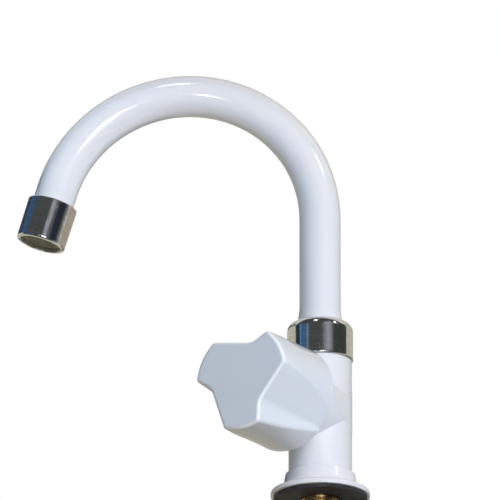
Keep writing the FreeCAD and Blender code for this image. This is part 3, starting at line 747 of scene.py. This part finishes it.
def bright_steel(name: str, axis: Direction) -> TurnedFinish:
    """Return steel with lathe rings across an axis."""
    return TurnedFinish("bright_steel_" + name, (0.62, 0.62, 0.63), (0.50, 0.50, 0.52), roughness=(0.2, 0.3),
                        metallic=1.0, grain_size=0.0005, patch_size=0.004, relief=0.000004, axis=axis)


@dataclass
class Spout:
    """Gooseneck tube with its spigot, rings and collar nut."""

    tube_radius: float = 0.01065
    wall: float = 0.0015
    bell_radius: float = 0.0114
    bell_length: float = 0.0048
    bell_taper: float = 0.008
    arch_radius: float = 0.0695
    arch_sweep: float = ARCH_SWEEP
    tail: float = 0.0128
    sides: int = 96
    arch_step: float = 1.5
    riser_step: float = 0.0008
    sharp_angle: float = 40.0

    def path(self, foot: float, arch_height: float) -> list[tuple[Vector, float]]:
        """Lay out the centreline's points and outer radii, from the foot to the outlet.

        Args:
            foot: Height of the tube's lower end.
            arch_height: Height where the arch begins.

        Returns:
            Each point with its radius.
        """
        points = []
        bell_top = foot + self.bell_length
        riser_steps = round((arch_height - foot) / self.riser_step)
        for step in range(riser_steps):
            height = foot + (arch_height - foot) * step / riser_steps
            share = min(max((height - bell_top) / self.bell_taper, 0.0), 1.0)
            eased = share * share * (3 - 2 * share)
            points.append((Vector((0, 0, height)), self.bell_radius + (self.tube_radius - self.bell_radius) * eased))
        arch_steps = round(self.arch_sweep / self.arch_step)
        for step in range(arch_steps + 1):
            turn = math.radians(self.arch_sweep * step / arch_steps)
            centre = Vector((math.cos(turn) - 1, 0, math.sin(turn))) * self.arch_radius
            points.append((centre + Vector((0, 0, arch_height)), self.tube_radius))
        points.append((points[-1][0] + outlet_axis(self.arch_sweep) * self.tail, self.tube_radius))
        return points

    def tube_mesh(self, material: Material) -> Mesh:
        """Sweep a circle along the centreline and give the tube its wall.

        Args:
            material: The finish's material.

        Returns:
            The tube's mesh.
        """
        low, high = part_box("spout_tube")
        points = self.path(low.z, high.z - self.arch_radius - self.tube_radius)
        carrier = bpy.data.meshes.new("centreline")
        carrier.from_pydata([place for place, _ in points], [(i, i + 1) for i in range(len(points) - 1)], [])
        radii = carrier.attributes.new("tube_radius", "FLOAT", "POINT")
        radii.data.foreach_set("value", [radius for _, radius in points])
        recipe = GeometryRecipe("swept_tube", {"Sides": self.sides}, material)
        radius = recipe.sheet.add("GeometryNodeInputNamedAttribute", {"Name": "tube_radius"}, data_type="FLOAT")
        recipe.sweep(1.0, {"Scale": radius.outputs[0]})
        holder = placed("tube_skin", recipe.apply("tube_skin", carrier))
        solidify = holder.modifiers.new("wall", "SOLIDIFY")
        solidify.thickness = self.wall
        solidify.offset = -1.0
        mesh = baked(holder)
        bpy.data.objects.remove(holder)
        return smoothed_by_angle(faced_outwards(mesh), self.sharp_angle)

    def build(self, shop: Workshop) -> None:
        """Make the tube and dress the pieces at its foot.

        Args:
            shop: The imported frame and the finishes.
        """
        mesh = self.tube_mesh(shop.finish(TUBE_WHITE))
        shop.place("gooseneck_tube", mesh, Body.SPOUT, Slot.WHITE_ENAMEL, TUBE_WHITE, "spout_tube")
        shop.dress(chrome("upright", UPRIGHT), "collar_nut")
        shop.dress(turned_brass("upright", UPRIGHT), "spout_spigot")
        shop.dress(RUBBER, "spigot_o_ring_lower", "spigot_o_ring_upper")
        shop.dress(NYLON, "slip_washer", "gland_ring")


def outlet_axis(arch_sweep: float) -> Vector:
    """Return the way the water leaves, where the arch has turned by its sweep."""
    turn = math.radians(arch_sweep)
    return Vector((-math.sin(turn), 0, math.cos(turn)))


@dataclass
class Outlet:
    """Aerator at the spout's end."""

    arch_sweep: float = ARCH_SWEEP
    wire_spacing: float = 0.00095
    wire_radius: float = 0.00016
    wire_sides: int = 6
    wave_steps: int = 6
    rim_width: float = 0.0009
    rim_height: float = 0.0006
    rim_rounding: float = 0.0002
    rim_sides: int = 96
    rim_arc_steps: int = 4
    sharp_angle: float = 35.0
    screen_radius: float = 0.01024

    def weave_lines(self) -> Mesh:
        """Lay out the centrelines of a plain weave that fills the screen.

        Returns:
            The lines, about Z.
        """
        reach = self.screen_radius - self.rim_width / 2
        count = int(reach / self.wire_spacing)
        vertices, edges = [], []
        for warp in (True, False):
            for index in range(-count, count + 1):
                aside = index * self.wire_spacing
                half = math.sqrt(reach ** 2 - aside ** 2)
                steps = max(2, round(2 * half / self.wire_spacing * self.wave_steps))
                for step in range(steps + 1):
                    along = -half + 2 * half * step / steps
                    wave = math.cos(math.pi * along / self.wire_spacing) * (-1) ** index
                    lift = self.wire_radius * wave * (1 if warp else -1)
                    vertices.append((along, aside, lift) if warp else (aside, along, lift))
                    if step:
                        edges.append((len(vertices) - 2, len(vertices) - 1))
        mesh = bpy.data.meshes.new("weave_lines")
        mesh.from_pydata(vertices, edges, [])
        return mesh

    def on_axis(self, centre: Vector) -> Matrix:
        """Find the move from about Z to the outlet's axis.

        Args:
            centre: The place that the piece goes to.

        Returns:
            The move.
        """
        along = outlet_axis(self.arch_sweep)
        across = Vector((0, 1, 0))
        turn = Matrix((across.cross(along), across, along)).transposed()
        return Matrix.Translation(centre) @ turn.to_4x4()

    def build(self, shop: Workshop) -> None:
        """Weave the screen from round wires and dress the other pieces.

        Args:
            shop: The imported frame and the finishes.
        """
        low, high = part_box("aerator_screen")
        seat = self.on_axis((low + high) / 2)
        sizes = {"Wire Radius": self.wire_radius, "Sides": self.wire_sides}
        recipe = GeometryRecipe("woven_wires", sizes, shop.finish(WIRE_STEEL))
        recipe.sweep(recipe.given["Wire Radius"], {"Fill Caps": True})
        mesh = recipe.apply("outlet_screen", self.weave_lines())
        mesh.transform(seat)
        shop.place("outlet_screen", mesh, Body.SPOUT, Slot.STEEL_MESH, WIRE_STEEL, "aerator_screen")
        inner, outer = self.screen_radius - self.rim_width, self.screen_radius
        half, rounding = self.rim_height / 2, self.rim_rounding
        lathe = Lathe(self.rim_sides, self.rim_arc_steps)
        rim = lathe.turn("outlet_screen_rim", lathe.outline([
            Corner(inner, -half), Corner(outer, -half), Corner(outer, half, rounding), Corner(inner, half, rounding)]))
        rim.transform(seat)
        smoothed_by_angle(rim, self.sharp_angle)
        shop.place("outlet_screen_rim", rim, Body.SPOUT, Slot.STEEL_MESH, WIRE_STEEL)
        along = tuple(outlet_axis(self.arch_sweep))
        shop.dress(chrome("outlet", along), "aerator_housing")
        shop.dress(DARK_PLASTIC, "aerator_insert")
        shop.dress(RUBBER, "aerator_washer")
        shop.dress(turned_brass("outlet", along), "outlet_nipple")


@dataclass
class DeckFixing:
    """Threaded shank with its nut, washer and gasket, and the cover ring on the deck."""

    thread_radius: float = 0.0104775
    thread_depth: float = 0.00116
    thread_pitch: float = 0.001814
    bore: float = 0.0065
    foot_chamfer: float = 0.0008
    shank_foot: float = -0.052
    relief_low: float = -0.0355
    relief_high: float = -0.034
    relief_depth: float = 0.0009
    thread_top: float = -0.0005
    shoulder: float = 0.002
    spigot_step: float = 0.0006
    spigot_top: float = 0.014
    row_height: float = 0.00018
    sides: int = 120
    groove_edges: tuple[float, float] = (-0.75, 0.85)
    crest_play: float = 1e-6
    sharp_angle: float = 60.0

    def shank_rows(self) -> list[tuple[float, float]]:
        """Lay out the shank's closed profile, with many rows where the thread lies.

        Returns:
            The points, as (radius, height).
        """
        crest = self.thread_radius
        root = crest - self.relief_depth
        spigot = crest - self.spigot_step
        rows = [(self.bore, self.spigot_top), (self.bore, self.shank_foot),
                (crest - self.foot_chamfer, self.shank_foot)]
        for low, high in ((self.shank_foot + self.foot_chamfer, self.relief_low), (self.relief_high, self.thread_top)):
            steps = round((high - low) / self.row_height)
            rows += [(crest, low + (high - low) * step / steps) for step in range(steps + 1)]
            if high == self.relief_low:
                rows += [(root, self.relief_low), (root, self.relief_high)]
        return rows + [(crest, self.shoulder), (spigot, self.shoulder), (spigot, self.spigot_top)]

    def thread_recipe(self, material: Material) -> GeometryRecipe:
        """Make the tree that presses a round-crested helix into the outermost wall of a turned piece.

        Args:
            material: The finish's material.

        Returns:
            The recipe.
        """
        recipe = GeometryRecipe("helical_thread", {"Crest Radius": self.thread_radius, "Depth": self.thread_depth,
                                                   "Pitch": self.thread_pitch, "Top": self.thread_top}, material)
        sheet, given = recipe.sheet, recipe.given
        place = sheet.add("GeometryNodeInputPosition").outputs[0]
        apart = sheet.add("ShaderNodeSeparateXYZ", {0: place})
        flat = sheet.add("ShaderNodeCombineXYZ", {"X": apart.outputs["X"], "Y": apart.outputs["Y"]}).outputs[0]
        radius = sheet.add("ShaderNodeVectorMath", {0: flat}, operation="LENGTH").outputs["Value"]
        turn = sheet.math("DIVIDE", sheet.math("ARCTAN2", apart.outputs["Y"], apart.outputs["X"]), math.tau)
        rise = sheet.math("DIVIDE", apart.outputs["Z"], given["Pitch"])
        wave = sheet.math("COSINE", sheet.times(sheet.math("SUBTRACT", rise, turn), math.tau))
        groove = sheet.ramp(wave, *self.groove_edges, 0.0, 1.0)
        fading = sheet.ramp(sheet.math("SUBTRACT", given["Top"], apart.outputs["Z"]), 0.0, self.thread_pitch, 0.0, 1.0)
        press = sheet.times(sheet.times(groove, fading), given["Depth"])
        inwards = sheet.math("DIVIDE", sheet.times(press, -1.0), radius)
        offset = sheet.scaled(flat, inwards)
        outermost = sheet.math("GREATER_THAN", radius, sheet.math("SUBTRACT", given["Crest Radius"], self.crest_play))
        moved = sheet.add("GeometryNodeSetPosition", {"Geometry": given["Geometry"], "Selection": outermost,
                                                      "Offset": offset})
        recipe.close(moved.outputs[0])
        return recipe

    def build(self, shop: Workshop) -> None:
        """Cut the shank's thread and dress the other pieces.

        Args:
            shop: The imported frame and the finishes.
        """
        brass = turned_brass("upright", UPRIGHT)
        blank = Lathe(self.sides).turn("shank_blank", self.shank_rows())
        mesh = self.thread_recipe(shop.finish(brass)).apply("threaded_shank", blank)
        smoothed_by_angle(mesh, self.sharp_angle)
        shop.place("threaded_shank", mesh, Body.TAP, Slot.BRASS, brass, "inlet_shank")
        shop.dress(brass, "lock_nut")
        shop.dress(NYLON, "shank_washer")
        shop.dress(RUBBER, "deck_gasket")
        shop.dress(BODY_WHITE, "base_escutcheon")


@dataclass
class ValveBody:
    """Moulded body with the valve inside it and the knob in front."""

    joint_name: str = "handle_turn"
    brass_pieces: tuple[str, ...] = ("bonnet", "valve_seat", "valve_stem", "valve_piston")
    steel_pieces: tuple[str, ...] = ("stem_circlip", "washer_screw")
    rubber_pieces: tuple[str, ...] = ("bonnet_gasket", "stem_o_ring_inner", "stem_o_ring_outer", "seat_rubber")

    def build(self, shop: Workshop) -> None:
        """Dress the body, the valve's pieces and the knob.

        Args:
            shop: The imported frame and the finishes.
        """
        axis = tuple(shop.joint(self.joint_name)["axis"])
        shop.dress(BODY_WHITE, "body_shell")
        shop.dress(knob_white(axis), "knob")
        shop.dress(turned_brass("valve", axis), *self.brass_pieces)
        shop.dress(bright_steel("valve", axis), *self.steel_pieces)
        shop.dress(RUBBER, *self.rubber_pieces)


def towards(heading: float, elevation: float) -> Vector:
    """Return the unit vector at a heading from straight ahead and an elevation above the horizon."""
    turn, rise = math.radians(heading), math.radians(elevation)
    return Vector((math.sin(turn) * math.cos(rise), -math.cos(turn) * math.cos(rise), math.sin(rise)))


@dataclass(frozen=True)
class Panel:
    """A soft-edged patch of the studio that glossy surfaces see."""

    heading: float
    half_width: float
    elevation: float
    half_height: float
    colour: Colour
    strength: float = 1.0
    softness: float = 3.0


@dataclass(frozen=True)
class Lamp:
    """A soft round lamp that lights matt surfaces."""

    name: str
    heading: float
    elevation: float
    distance: float
    size: float
    power: float
    colour: Colour


@dataclass
class Studio:
    """Background, reflections, lamps and floor."""

    lamp_centre: tuple[float, float, float] = (-0.069, 0.0, 0.13)
    ambient: Colour = (0.02, 0.055, 0.09)
    front: Colour = (0.062, 0.068, 0.066)
    backdrop: Colour = (0.50, 0.50, 0.41)
    backdrop_from: float = 98.0
    backdrop_softness: float = 4.0
    floor_height: float = -12.0
    floor_size: float = 80.0
    floor_colour: Colour = (0.86, 0.86, 0.86)
    panels: tuple[Panel, ...] = (
        Panel(-140, 44, 64, 20, (0.66, 0.66, 0.64), softness=10),
        Panel(140, 45, 60, 22, (0.66, 0.62, 0.57), softness=10),
        Panel(140, 42, 0, 12, (0.38, 0.335, 0.265), softness=6),
        Panel(160, 40, -27, 15, (0.24, 0.22, 0.17), softness=6),
        Panel(-152, 14, 24, 3.5, (0.02, 0.035, 0.06), softness=2),
        Panel(-126, 13, 29.5, 3.5, (0.02, 0.035, 0.06), softness=2),
        Panel(-97, 8, 12, 12, (0.50, 0.49, 0.38)),
        Panel(-92, 24, 33.5, 5, (0.04, 0.085, 0.165), softness=5),
        Panel(-56, 13, 12, 12, (0.045, 0.115, 0.245)),
        Panel(-67, 3, 12, 12, (0.11, 0.22, 0.33), softness=2),
        Panel(-39, 3.5, 12, 12, (0.14, 0.21, 0.30)),
        Panel(-80, 9, 12, 12, (0.02, 0.035, 0.04)),
        Panel(34, 12, 26, 13, (0.36, 0.37, 0.41), softness=24),
        Panel(18, 8, 5, 8, (0.36, 0.38, 0.43), softness=14),
        Panel(58, 15, 0, 9, (0.02, 0.027, 0.04), softness=5),
        Panel(88, 9, -2, 7, (0.16, 0.16, 0.14), softness=6),
        Panel(82, 28, 20, 13, (0.045, 0.05, 0.045), softness=5),
        Panel(13, 7.6, -2, 2.3, WHITE, 13.0, 2.0),
        Panel(9.5, 3.5, -6.5, 2.4, WHITE, 12.0, 2.0),
        Panel(18.5, 4.5, -13, 1.2, WHITE, 9.0, 1.5),
        Panel(24, 1.3, -7, 5.0, WHITE, 9.0, 1.5),
        Panel(-10, 1.6, -5, 1.9, WHITE, 26.0, 1.5),
        Panel(-14, 6, 57.5, 2.4, WHITE, 13.0, 2.0),
        Panel(66, 3.0, 39, 4.4, (0.85, 0.95, 1.0), 12.0, 1.5),
    )
    lamps: tuple[Lamp, ...] = (
        Lamp("key", 30.0, 0.0, 1.6, 0.9, 25.0, (0.84, 0.90, 1.0)),
        Lamp("warm_right", 45.0, 30.0, 1.6, 0.9, 6.8, (1.0, 0.64, 0.19)),
        Lamp("low_left", -52.0, -67.0, 1.6, 0.9, 6.8, (1.0, 0.76, 0.47)),
        Lamp("near_left", -62.0, 38.0, 0.24, 0.1, 0.112, (0.82, 0.91, 1.0)),
        Lamp("right_edge", 115.0, -15.0, 1.6, 0.9, 2.2, (0.55, 0.78, 1.0)),
        Lamp("behind", -174.4, 18.5, 1.6, 0.15, 28.0, (1.0, 0.95, 0.89)),
    )

    def build_world(self) -> None:
        """Make the world: white to the camera, dim to matt surfaces and a panelled studio to glossy ones."""
        world = bpy.data.worlds.new("studio")
        bpy.context.scene.world = world
        world.use_nodes = True
        world.node_tree.nodes.clear()
        sheet = Sheet(world.node_tree)
        apart = sheet.add("ShaderNodeSeparateXYZ", {0: sheet.add("ShaderNodeTexCoord").outputs["Generated"]})
        ahead = sheet.times(apart.outputs["Y"], -1.0)
        heading = sheet.times(sheet.math("ARCTAN2", apart.outputs["X"], ahead), math.degrees(1.0))
        elevation = sheet.times(sheet.math("ARCSINE", apart.outputs["Z"]), math.degrees(1.0))
        behind = sheet.ramp(sheet.math("ABSOLUTE", heading), self.backdrop_from - self.backdrop_softness,
                            self.backdrop_from + self.backdrop_softness, 0.0, 1.0)
        seen = sheet.blend(behind, rgba(self.front), rgba(self.backdrop))
        for panel in self.panels:
            mask = sheet.times(self.edge(sheet, heading, panel.heading, panel.half_width, panel.softness),
                              self.edge(sheet, elevation, panel.elevation, panel.half_height, panel.softness))
            seen = sheet.blend(mask, seen, rgba(tuple(panel.strength * part for part in panel.colour)))
        ray = sheet.add("ShaderNodeLightPath").outputs
        lit = sheet.blend(ray["Is Glossy Ray"], rgba(self.ambient), seen)
        direct = sheet.math("MAXIMUM", ray["Is Camera Ray"], ray["Is Transmission Ray"])
        shown = sheet.blend(direct, lit, rgba(WHITE))
        background = sheet.add("ShaderNodeBackground", {"Color": shown, "Strength": 1.0})
        sheet.add("ShaderNodeOutputWorld", {"Surface": background.outputs[0]})

    @staticmethod
    def edge(sheet: Sheet, value: object, middle: float, half: float, softness: float) -> Socket:
        """Return 1 inside a band about a middle and 0 outside, with soft edges."""
        away = sheet.math("ABSOLUTE", sheet.math("SUBTRACT", value, middle))
        return sheet.ramp(away, half - softness / 2, half + softness / 2, 1.0, 0.0)

    def build_lamps(self) -> None:
        """Hang the soft lamps round the tap. Glossy surfaces see the world's panels in their place."""
        for lamp in self.lamps:
            light = bpy.data.lights.new(lamp.name, "AREA")
            light.shape = "DISK"
            light.size = lamp.size
            light.energy = lamp.power
            light.color = lamp.colour
            holder = placed(lamp.name, light)
            way = towards(lamp.heading, lamp.elevation)
            holder.location = Vector(self.lamp_centre) + way * lamp.distance
            holder.rotation_mode = "QUATERNION"
            holder.rotation_quaternion = way.to_track_quat("Z", "Y")
            holder.visible_glossy = False

    def build_floor(self) -> None:
        """Lay the plain floor far below, white to the camera and lit like any matt surface for the rest."""
        half = self.floor_size / 2
        mesh = bpy.data.meshes.new("floor")
        corners = ((-half, -half), (half, -half), (half, half), (-half, half))
        mesh.from_pydata([(x, y, self.floor_height) for x, y in corners], [], [(0, 1, 2, 3)])
        floor = placed("floor", mesh)
        material = bpy.data.materials.new("floor")
        material.use_nodes = True
        material.node_tree.nodes.clear()
        sheet = Sheet(material.node_tree)
        matt = sheet.add("ShaderNodeBsdfDiffuse", {"Color": rgba(self.floor_colour)})
        glow = sheet.add("ShaderNodeEmission", {"Color": rgba(WHITE), "Strength": 1.0})
        ray = sheet.add("ShaderNodeLightPath").outputs
        mixed = sheet.add("ShaderNodeMixShader", {0: ray["Is Camera Ray"], 1: matt.outputs[0], 2: glow.outputs[0]})
        sheet.add("ShaderNodeOutputMaterial", {"Surface": mixed.outputs[0]})
        mesh.materials.append(material)
        floor.visible_glossy = False

    def build(self) -> None:
        """Make the world, the lamps and the floor."""
        self.build_world()
        self.build_lamps()
        self.build_floor()


@dataclass
class PhotoCamera:
    """Camera that looks up at the tap as the photograph does."""

    heading: float = 5.6
    elevation: float = -18.5
    distance: float = 10.0
    view_width: float = 0.2565
    axis_height: float = 0.047
    right_of_axis: float = -0.0360
    above_axis: float = 0.0840
    sensor: float = 36.0
    clip_end: float = 100.0

    def build(self) -> None:
        """Make the camera."""
        back = towards(self.heading, self.elevation)
        right = Vector(UPRIGHT).cross(back).normalized()
        aim = Vector((0, 0, self.axis_height)) + right * self.right_of_axis + back.cross(right) * self.above_axis
        lens = bpy.data.cameras.new("photo_camera")
        lens.sensor_width = self.sensor
        lens.lens = self.sensor * self.distance / self.view_width
        lens.clip_end = self.clip_end
        camera = placed("photo_camera", lens)
        camera.location = aim + back * self.distance
        camera.rotation_mode = "QUATERNION"
        camera.rotation_quaternion = back.to_track_quat("Z", "Y")
        bpy.context.scene.camera = camera


def main() -> None:
    """Dress the tap, light it and set the camera."""
    logging.basicConfig(level=logging.INFO, format="%(message)s")
    shop = Workshop()
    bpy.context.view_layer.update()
    bpy.context.scene.view_settings.view_transform = "Standard"
    PhotoCamera().build()
    Studio().build()
    for part in (Spout(), Outlet(), ValveBody(), DeckFixing()):
        part.build(shop)
        LOG.info("%s done", type(part).__name__)


if __name__ == "__main__":
    main()
